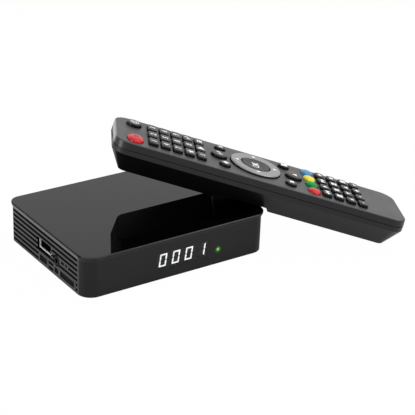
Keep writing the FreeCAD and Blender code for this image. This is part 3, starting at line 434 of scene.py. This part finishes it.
def ventedAbs():
    # moulded ABS of the case: satin outside, paler on its flared rim as a painted highlight, darker in its
    # hollows and near-black in the depth of its slots as painted shade
    tree = newMaterial("ventedAbs")
    low, high = rowBox("case_body")
    flared = beyondPlane(tree, Vector((0, 0, caseSkin["flareFoot"])) * mm, Vector((0, 0, 1)))
    hollow = insideBox(tree, low, high, {0: caseSkin["hollowFloor"], 1: caseSkin["slotEnd"]})
    inside = insideBox(tree, low, high, {0: caseSkin["slotFloor"], 1: caseSkin["slotEnd"]})
    layFinishes(tree, "grainedAbs", [(flared, "flareHighlightAbs"), (hollow, "mattAbs"), (inside, "depthShade")])


mouthHighlightDepth = 0.75  # depth of the painted highlight at the socket shell's mouth, in millimetres


def socketShell():
    # tinned steel shell: a painted highlight at its mouth, painted shade further in
    start = Vector((rowBox("usb_socket")[0].x + mouthHighlightDepth, 0, 0)) * mm
    cutFinish("socketShell", "tinMouthHighlight", [(start, Vector((1, 0, 0)), "depthShade")])


panelLook = {
    "margin": 1.5,  # window beyond the lit digits, in millimetres
    "tint": 0.4,  # share of light that one face of the window lets through
    "haloStart": 0.9, "haloRadius": 2.6,  # glow round the lamp, in millimetres
    "haloColour": "#15510a",
    "skin": dict(colour="#0e0e0e", second="#101010", mottle=30, polish=20, smooth=0.3, rough=0.36,
                 grain=0.6, height=0.002, specular=0.3),
}


def distanceFrom(tree, spot):
    # how far a place on the object lies from a spot in millimetres, in metres
    place = addNode(tree, "ShaderNodeTexCoord", {})
    return addNode(tree, "ShaderNodeVectorMath", {0: place.outputs["Object"], 1: spot * mm},
                   operation="DISTANCE").outputs["Value"]


def lampFront():
    # the middle of the lamp's front, in millimetres
    low, high = rowBox("status_led")
    return Vector(((low.x + high.x) / 2, low.y, (low.z + high.z) / 2))


def smokedPolycarbonate():
    # smoked polycarbonate: black and smooth, see-through over the digits, glowing round the lamp
    tree = newMaterial("smokedPolycarbonate")
    margin = panelLook["margin"]
    window = insideBox(tree, *rowBox("display_digits"), {0: -margin, 2: -margin})
    glow = addNode(tree, "ShaderNodeMapRange", {
        "Value": distanceFrom(tree, lampFront()), "From Min": panelLook["haloStart"] * mm,
        "From Max": panelLook["haloRadius"] * mm, "To Min": 1.0, "To Max": 0.0,
    }, interpolation_type="SMOOTHERSTEP")
    glowColour = addNode(tree, "ShaderNodeMix", {
        0: glow.outputs["Result"], 6: (0, 0, 0, 1), 7: linear(panelLook["haloColour"]),
    }, data_type="RGBA")
    shader = finishShader(tree, panelLook["skin"])
    tree.links.new(glowColour.outputs[2], shader.inputs["Emission Color"])
    shader.inputs["Emission Strength"].default_value = 1.0
    tint = addNode(tree, "ShaderNodeMix", {
        0: window, 6: (0, 0, 0, 1), 7: (panelLook["tint"],) * 3 + (1,),
    }, data_type="RGBA")
    clear = addNode(tree, "ShaderNodeBsdfTransparent", {"Color": tint.outputs[2]})
    both = addNode(tree, "ShaderNodeAddShader", {0: shader.outputs[0], 1: clear.outputs[0]})
    addNode(tree, "ShaderNodeOutputMaterial", {"Surface": both.outputs[0]})


def litSegment():
    # lit display segment: even white light through a diffuser
    tree = newMaterial("litSegment")
    colour = twoTones(tree, spread(tree, noiseField(tree, 1.2), 0, 1), "#eef2f4", "#ffffff")
    shader = addNode(tree, "ShaderNodeBsdfPrincipled", {
        "Base Color": (0.8, 0.8, 0.8, 1), "Roughness": 0.5, "Emission Color": colour,
        "Emission Strength": 1.0 / panelLook["tint"] ** 2,
    })
    addNode(tree, "ShaderNodeOutputMaterial", {"Surface": shader.outputs[0]})


lensLook = {
    "core": 0.35, "rim": 1.1,  # where the light starts to fade and where it stops, in millimetres
    "shift": 0.15,  # of the bright core, to the left and up, in millimetres
    "coreColour": "#86c254", "rimColour": "#2a7414", "bodyColour": "#2f6b1c", "strength": 0.9,
}


def litLens():
    # green diode lens: bright in its middle, deeper towards its rim
    tree = newMaterial("litLens")
    core = lampFront() + Vector((-1, 0, 1)) * lensLook["shift"]
    rim = addNode(tree, "ShaderNodeMapRange", {
        "Value": distanceFrom(tree, core), "From Min": lensLook["core"] * mm,
        "From Max": lensLook["rim"] * mm,
    }, interpolation_type="SMOOTHSTEP")
    colour = twoTones(tree, rim.outputs["Result"], lensLook["coreColour"], lensLook["rimColour"])
    shader = addNode(tree, "ShaderNodeBsdfPrincipled", {
        "Base Color": linear(lensLook["bodyColour"]), "Roughness": 0.25, "Emission Color": colour,
        "Emission Strength": lensLook["strength"],
    })
    addNode(tree, "ShaderNodeOutputMaterial", {"Surface": shader.outputs[0]})


for makeSkin in (solderMask, facedAbs, keelAbs, coatedTops, acrylicEdgeLightAndShade, ventedAbs, socketShell,
                 smokedPolycarbonate, litSegment, litLens):
    makeSkin()
print("skins of several finishes made:", len(materials))

# the nodes that keep their own shape, by the finish that each wears
nodeFinishes = {
    "acrylicEdgeLightAndShade": ["top_cover"],
    "ventedAbs": ["case_body"],
    "grainedAbs": ["base_plate"],
    "smokedPolycarbonate": ["front_panel"],
    "siliconeRubber": ["rubber_feet", "key_mat"],
    "oxideSteel": ["case_screws"],
    "solderMask": ["main_board", "display_board", "remote_board"],
    "tinPlate": ["tuner_can", "hdmi_socket"],
    "socketShell": ["usb_socket"],
    "nickelPlate": ["lnb_connector", "battery_contacts"],
    "filledNylon": ["ethernet_socket", "av_socket", "power_socket", "display_module", "ir_sensor",
                    "usb_tongue"],
    "blackRubberAndShade": ["side_jack"],
    "litSegment": ["display_digits"],
    "litLens": ["status_led"],
    "mouldedEpoxy": ["processor", "memory_chips"],
    "extrudedAluminium": ["heat_sink"],
    "shrinkSleeve": ["capacitors"],
    "facedAbs": ["remote_top_shell"],
    "keelAbs": ["remote_bottom_shell"],
    "satinAbs": ["battery_cover"],
    "infraredWindow": ["ir_window"],
    "clearEpoxy": ["ir_emitter"],
    "printedSleeve": ["batteries"],
}
edgeBevels = {  # in millimetres
    "top_cover": 0.12, "case_body": 0.05, "front_panel": 0.1, "usb_socket": 0.08,
    "remote_top_shell": 0.2, "remote_bottom_shell": 0.2, "battery_cover": 0.12,
}
edgeAngles = {"bevel": 38, "split": 32}  # an edge that turns by more is bevelled or kept sharp, in degrees


def dressNode(name, finish):
    # its own mesh stays as it is: the modifiers join its triangles, soften its edges and shade it
    node = frame["nodes"][name]
    node.data.materials.clear()
    node.data.materials.append(materialNamed(finish))
    node.data.polygons.foreach_set("use_smooth", [True] * len(node.data.polygons))
    weld = node.modifiers.new("weld", "WELD")
    weld.merge_threshold = 0.001 * mm
    if name in edgeBevels:
        bevel = node.modifiers.new("bevel", "BEVEL")
        bevel.width = edgeBevels[name] * mm
        bevel.segments = 2
        bevel.limit_method = "ANGLE"
        bevel.angle_limit = math.radians(edgeAngles["bevel"])
        bevel.use_clamp_overlap = True
        bevel.harden_normals = False
    split = node.modifiers.new("split", "EDGE_SPLIT")
    split.split_angle = math.radians(edgeAngles["split"])
    weighted = node.modifiers.new("weighted", "WEIGHTED_NORMAL")
    weighted.mode = "FACE_AREA"
    weighted.keep_sharp = True


for finishName, nodeNames in nodeFinishes.items():
    for nodeName in nodeNames:
        dressNode(nodeName, finishName)
print("nodes dressed:", sum(len(names) for names in nodeFinishes.values()))

keyFlange = {"width": 0.5, "height": 0.5, "corner": 1.2}  # of every key, under the shell, in millimetres
blackKey = ("coatedKeyTop", "key_black", 0.2)  # finish, slot and crown in millimetres
ovalKeys = {
    "power_key": ("redKey", "key_red", 1.1), "mute_key": blackKey, "menu_key": blackKey,
    "info_key": blackKey, "exit_key": blackKey, "guide_key": blackKey, "back_key": blackKey,
    "list_key": blackKey, "blue_key": ("blueKey", "key_blue", 1.1),
    "yellow_key": ("yellowKey", "key_yellow", 1.1), "green_key": ("greenKey", "key_green", 1.1),
    "red_key": ("redKey", "key_red", 1.1),
}


def ovalKeyPiece(name, finish, crown):
    # a flange, a straight stem and a crowned top, spun round and stretched to an oval
    low, high = remoteBox(name)
    length = high.x - low.x - 2 * keyFlange["width"]
    width = high.y - low.y - 2 * keyFlange["width"]
    rim = 1 + 2 * keyFlange["width"] / length
    foot, top = low.z + keyFlange["height"], high.z
    profile = [(0, low.z), (rim, low.z), (rim, foot), (1, foot), (1, top - crown - 0.35),
               (0.985, top - crown - 0.12), (0.94, top - 0.8 * crown), (0.84, top - 0.5 * crown),
               (0.66, top - 0.2 * crown), (0.4, top - 0.05 * crown), (0, top)]
    mesh = bmesh.new()
    place = Matrix.Translation(((low.x + high.x) / 2, (low.y + high.y) / 2, 0))
    spunProfile(mesh, profile, 48, place @ Matrix.Diagonal((length / 2, width / 2, 1, 1)))
    smoothShade(mesh, 50)
    finishPiece(name + "_cap", mesh, name, finish, [name])


for keyName, (keyFinish, keySlot, keyCrown) in ovalKeys.items():
    ovalKeyPiece(keyName, keyFinish, keyCrown)

blockKeys = {  # lengths in millimetres
    "number_keys": dict(rows=5, columns=3, length=5.0, width=9.6, corner=1.1, edge=0.45),
    "function_keys": dict(rows=4, columns=4, length=4.8, width=7.0, corner=1.1, edge=0.45),
}


def rowCentres(node, columns, width):
    # the middles of a row's keys across the remote, from the near side to the far side
    low, high = remoteBox(node)
    first = low.y + keyFlange["width"] + width / 2
    last = high.y - keyFlange["width"] - width / 2
    step = (last - first) / (columns - 1)
    return (low.x + high.x) / 2, [first + step * n for n in range(columns)]


def blockKeyPiece(node, look):
    # a row of keys: rounded blocks with soft top edges, each on its flange
    low, high = remoteBox(node)
    middle, centres = rowCentres(node, look["columns"], look["width"])
    foot = low.z + keyFlange["height"]
    alongHalf, acrossHalf = look["length"] / 2, look["width"] / 2
    alongFlange, acrossFlange = alongHalf + keyFlange["width"], acrossHalf + keyFlange["width"]
    mesh = bmesh.new()
    for centre in centres:
        key = bmesh.new()
        roundedBlock(key, (middle - alongHalf, centre - acrossHalf, foot),
                     (middle + alongHalf, centre + acrossHalf, high.z), look["corner"], 5)
        rim = [e for e in key.edges if all(abs(v.co.z - high.z) < 1e-4 for v in e.verts)]
        bmesh.ops.bevel(key, geom=rim, offset=look["edge"], affect="EDGES", segments=3, profile=0.5,
                        material=-1)
        roundedBlock(key, (middle - alongFlange, centre - acrossFlange, low.z),
                     (middle + alongFlange, centre + acrossFlange, foot), keyFlange["corner"], 3)
        smoothShade(key, 40)
        data = bpy.data.meshes.new("key")
        key.to_mesh(data)
        key.free()
        mesh.from_mesh(data)
        bpy.data.meshes.remove(data)
    finishPiece(node + "_caps", mesh, node, "coatedKeyTop", [node])


for rowKind, rowLook in blockKeys.items():
    for rowIndex in range(rowLook["rows"]):
        blockKeyPiece("%s_%d" % (rowKind, rowIndex + 1), rowLook)

ringLook = {  # in millimetres
    "length": 28.2, "width": 32.5, "gap": 0.6, "okLength": 15.6, "okWidth": 18.3, "dish": 0.5,
    "pivotRadius": 0.4, "pivotReach": 1.6,
}


def navRingPiece():
    # a flat silver ring with a thick rounded edge and a small inner chamfer, on its two pivots
    low, high = remoteBox("nav_ring")
    length, width, reach = ringLook["length"], ringLook["width"], ringLook["pivotReach"]
    hole = (ringLook["okLength"] + 2 * ringLook["gap"]) / length
    top = high.z
    profile = [(hole, low.z), (1, low.z), (1, top - 0.95), (0.993, top - 0.6), (0.98, top - 0.28),
               (0.962, top - 0.07), (0.942, top), (0.9, top - 0.05), (hole + 0.03, top - 0.12),
               (hole + 0.008, top - 0.22), (hole, top - 0.4), (hole, low.z)]
    mesh = bmesh.new()
    place = Matrix.Translation((ringPlace, 0, 0))
    spunProfile(mesh, profile, 72, place @ Matrix.Diagonal((length / 2, width / 2, 1, 1)))
    for side in (-1, 1):
        middle = Matrix.Translation((ringPlace, side * width / 2, -ringDepth))
        bmesh.ops.create_cone(mesh, cap_ends=True, segments=24, radius1=ringLook["pivotRadius"],
                              radius2=ringLook["pivotRadius"], depth=2 * reach,
                              matrix=middle @ Matrix.Rotation(math.pi / 2, 4, "X"))
    smoothShade(mesh, 40)
    # silver above its coat level, black below: painted shade on the ring's side wall
    finishPiece("nav_ring_face", mesh, "nav_ring", "silverLacquerTop", ["nav_ring"])


def okKeyPiece():
    # a dished oval: its rim stands a little proud of its middle
    low, high = remoteBox("ok_key")
    length, width, top, dish = high.x - low.x, high.y - low.y, high.z, ringLook["dish"]
    profile = [(0, low.z), (1, low.z), (1, top - 0.45), (0.985, top - 0.2), (0.96, top - 0.05),
               (0.93, top), (0.88, top - 0.08), (0.7, top - 0.35 * dish), (0.45, top - 0.75 * dish),
               (0.2, top - 0.95 * dish), (0, top - dish)]
    mesh = bmesh.new()
    place = Matrix.Translation(((low.x + high.x) / 2, (low.y + high.y) / 2, 0))
    spunProfile(mesh, profile, 64, place @ Matrix.Diagonal((length / 2, width / 2, 1, 1)))
    smoothShade(mesh, 40)
    # grey above its coat level, black below: painted shade on the middle key's side
    finishPiece("ok_key_cap", mesh, "ok_key", "greyLacquerTop", ["ok_key"])


navRingPiece()
okKeyPiece()
print("keys made")

inkLook = {
    "thickness": 0.3, "proud": 0.02,  # most of a mark is sunk into its key, in millimetres
    "bold": 0.02,  # how far a mark's outline is widened, as a share of its size
}


def inkMark(mesh, text, size, spot, top):
    # one mark: its middle at a spot on the remote, reading across with its foot along +U
    curve = bpy.data.curves.new("ink", "FONT")
    curve.body = text
    curve.size = size
    curve.offset = inkLook["bold"] * size
    curve.resolution_u = 3
    curve.extrude = inkLook["thickness"] / 2
    holder = bpy.data.objects.new("ink", curve)
    bpy.context.scene.collection.objects.link(holder)
    bpy.context.view_layer.update()
    data = bpy.data.meshes.new_from_object(holder.evaluated_get(bpy.context.evaluated_depsgraph_get()))
    bpy.data.objects.remove(holder)
    bpy.data.curves.remove(curve)
    low = [min(v.co[i] for v in data.vertices) for i in range(2)]
    high = [max(v.co[i] for v in data.vertices) for i in range(2)]
    centred = Matrix.Translation((-(low[0] + high[0]) / 2, -(low[1] + high[1]) / 2, 0))
    height = top + inkLook["proud"] - inkLook["thickness"] / 2
    data.transform(Matrix.Translation((spot[0], spot[1], height)) @ textTurn @ centred)
    mesh.from_mesh(data)
    bpy.data.meshes.remove(data)


def legendPiece(node, marks, finish="legendInk"):
    # all the marks of one key or row of keys, as one piece of ink
    mesh = bmesh.new()
    for text, size, spot, top in marks:
        inkMark(mesh, text, size, spot, top)
    bmesh.ops.remove_doubles(mesh, verts=mesh.verts, dist=1e-4)
    finishPiece(node + "_legend", mesh, node, finish)


def keyTop(node):
    # the middle of a key along and across the remote, and its height
    low, high = remoteBox(node)
    return ((low.x + high.x) / 2, (low.y + high.y) / 2), high.z


numberLegends = (("1", "2", "3"), ("4", "5", "6"), ("7", "8", "9"), ("★", "0", "↩"), ("♪", "▶", "☰"))
functionLegends = (("◀◀", "▶", "▶▶", "●"), ("⏮", "❚❚", "⏭", "■"), ("⏏", "▼", "▲", "ℹ"),
                   ("−", "+", "◆", "★"))
ovalLegends = {  # each with its size in millimetres
    "mute_key": ("🔇", 4.4), "menu_key": ("☰", 3.4), "info_key": ("↩", 4.4), "exit_key": ("◆", 3.6),
    "guide_key": ("ℹ", 3.4), "back_key": ("▲", 3.2), "list_key": ("■", 3.0),
}
legendSizes = {"number": 4.4, "function": 2.9, "power": 3.2, "ok": 5.2, "arrow": 2.6}  # in millimetres
legendSinks = {"ok": 0.4, "arrow": 0.06}  # below the key's highest point, in millimetres

for kind, legends, size in (("number_keys", numberLegends, legendSizes["number"]),
                            ("function_keys", functionLegends, legendSizes["function"])):
    for rowIndex, row in enumerate(legends):
        node = "%s_%d" % (kind, rowIndex + 1)
        middle, centres = rowCentres(node, len(row), blockKeys[kind]["width"])
        top = keyTop(node)[1]
        legendPiece(node, [(text, size, (middle, centre), top) for text, centre in zip(row, centres)])
for node, (text, size) in ovalLegends.items():
    legendPiece(node, [(text, size, *keyTop(node))])
legendPiece("power_key", [("⏻", legendSizes["power"], *keyTop("power_key"))], "darkInk")
okSpot, okTop = keyTop("ok_key")
legendPiece("ok_key", [("OK", legendSizes["ok"], okSpot, okTop - legendSinks["ok"])])

arrowTop = keyTop("nav_ring")[1] - legendSinks["arrow"]
arrowAlong = (ringLook["length"] + ringLook["okLength"]) / 4
arrowAcross = (ringLook["width"] + ringLook["okWidth"]) / 4
ringMarks = [("▲", (ringPlace - arrowAlong, 0)), ("▼", (ringPlace + arrowAlong, 0)),
             ("▶", (ringPlace, arrowAcross)), ("◀", (ringPlace, -arrowAcross))]
legendPiece("nav_ring", [(text, legendSizes["arrow"], spot, arrowTop) for text, spot in ringMarks])
print("legends made")

stageLook = {
    "floorSize": 6.0, "floorDrop": 0.0001,  # in metres
    "floorColour": "#cdcdcd", "ambient": 0.65,
    # how much of the lit backdrop the floor gives to the camera, and to reflections in the object
    "cleared": 0.99, "mirrored": 0.25,
}


def backgroundShare(tree, *rays):
    # 1 for the kinds of ray that see the bare white of the backdrop, 0 for the others
    path = addNode(tree, "ShaderNodeLightPath", {})
    share = path.outputs[rays[0]]
    for ray in rays[1:]:
        share = addNode(tree, "ShaderNodeMath", {0: share, 1: path.outputs[ray]},
                        operation="MAXIMUM").outputs[0]
    return share


def studioFloor():
    bpy.ops.mesh.primitive_plane_add(size=stageLook["floorSize"], location=(0, 0, -stageLook["floorDrop"]))
    floor = bpy.context.object
    floor.name = "studio_floor"
    tree = newMaterial("paperFloor")
    seen = backgroundShare(tree, "Is Camera Ray", "Is Transmission Ray")
    cleared = addNode(tree, "ShaderNodeMath", {0: seen, 1: stageLook["cleared"]},
                      operation="MULTIPLY").outputs[0]
    glossy = backgroundShare(tree, "Is Glossy Ray")
    mirrored = addNode(tree, "ShaderNodeMath", {0: glossy, 1: stageLook["mirrored"]},
                       operation="MULTIPLY").outputs[0]
    share = addNode(tree, "ShaderNodeMath", {0: cleared, 1: mirrored}, operation="MAXIMUM").outputs[0]
    matt = addNode(tree, "ShaderNodeBsdfDiffuse", {"Color": linear(stageLook["floorColour"])})
    white = addNode(tree, "ShaderNodeEmission", {"Color": (1, 1, 1, 1), "Strength": 1.0})
    both = addNode(tree, "ShaderNodeMixShader", {0: share, 1: matt.outputs[0], 2: white.outputs[0]})
    addNode(tree, "ShaderNodeOutputMaterial", {"Surface": both.outputs[0]})
    floor.data.materials.append(materials["paperFloor"])


def studioWorld():
    world = bpy.data.worlds.new("studio")
    bpy.context.scene.world = world
    world.use_nodes = True
    tree = world.node_tree
    tree.nodes.clear()
    dim = addNode(tree, "ShaderNodeBackground", {"Color": (1, 1, 1, 1), "Strength": stageLook["ambient"]})
    white = addNode(tree, "ShaderNodeBackground", {"Color": (1, 1, 1, 1), "Strength": 1.0})
    share = backgroundShare(tree, "Is Camera Ray", "Is Transmission Ray", "Is Glossy Ray")
    both = addNode(tree, "ShaderNodeMixShader", {0: share, 1: dim.outputs[0], 2: white.outputs[0]})
    addNode(tree, "ShaderNodeOutputWorld", {"Surface": both.outputs[0]})


softLights = {
    # places and sizes in metres, power in watts
    "overheadSoftbox": dict(place=(0.4, -0.1, 0.7), size=0.6, power=2.4),
    "frontFill": dict(place=(0.42, -0.45, 0.26), size=0.4, power=1.3),
    "leftFill": dict(place=(-0.6, 0.1, 0.25), size=0.2, power=1.6),
}
aimPoint = Vector((0.04, -0.01, 0.01))  # every lamp faces it, in metres


def studioLights():
    for name, look in softLights.items():
        lamp = bpy.data.lights.new(name, "AREA")
        lamp.shape = "SQUARE"
        lamp.size = look["size"]
        lamp.energy = look["power"]
        holder = bpy.data.objects.new(name, lamp)
        bpy.context.scene.collection.objects.link(holder)
        holder.location = look["place"]
        holder.rotation_euler = (aimPoint - holder.location).to_track_quat("-Z", "Y").to_euler()


cameraLook = {
    "target": (44.335, -1.04, 12.18),  # in millimetres
    "azimuth": -35.121, "elevation": 25.051, "roll": 2.223,  # in degrees
    "distance": 747.18,  # in millimetres
    "lens": 118.14, "sensor": 36.0,
}


def studioCamera():
    azimuth, elevation, roll = (math.radians(cameraLook[name]) for name in ("azimuth", "elevation", "roll"))
    back = Vector((math.sin(azimuth) * math.cos(elevation), -math.cos(azimuth) * math.cos(elevation),
                   math.sin(elevation)))
    level = Vector((math.cos(azimuth), math.sin(azimuth), 0))
    raised = back.cross(level)
    right = level * math.cos(roll) + raised * math.sin(roll)
    up = raised * math.cos(roll) - level * math.sin(roll)
    data = bpy.data.cameras.new("camera")
    data.lens = cameraLook["lens"]
    data.sensor_width = cameraLook["sensor"]
    camera = bpy.data.objects.new("camera", data)
    bpy.context.scene.collection.objects.link(camera)
    place = Vector(cameraLook["target"]) + back * cameraLook["distance"]
    camera.matrix_world = Matrix.Translation(place * mm) @ Matrix((right, up, back)).transposed().to_4x4()
    bpy.context.scene.camera = camera


studioFloor()
studioWorld()
studioLights()
studioCamera()
bpy.context.scene.view_settings.view_transform = "Standard"
print("stage, lights and camera set")
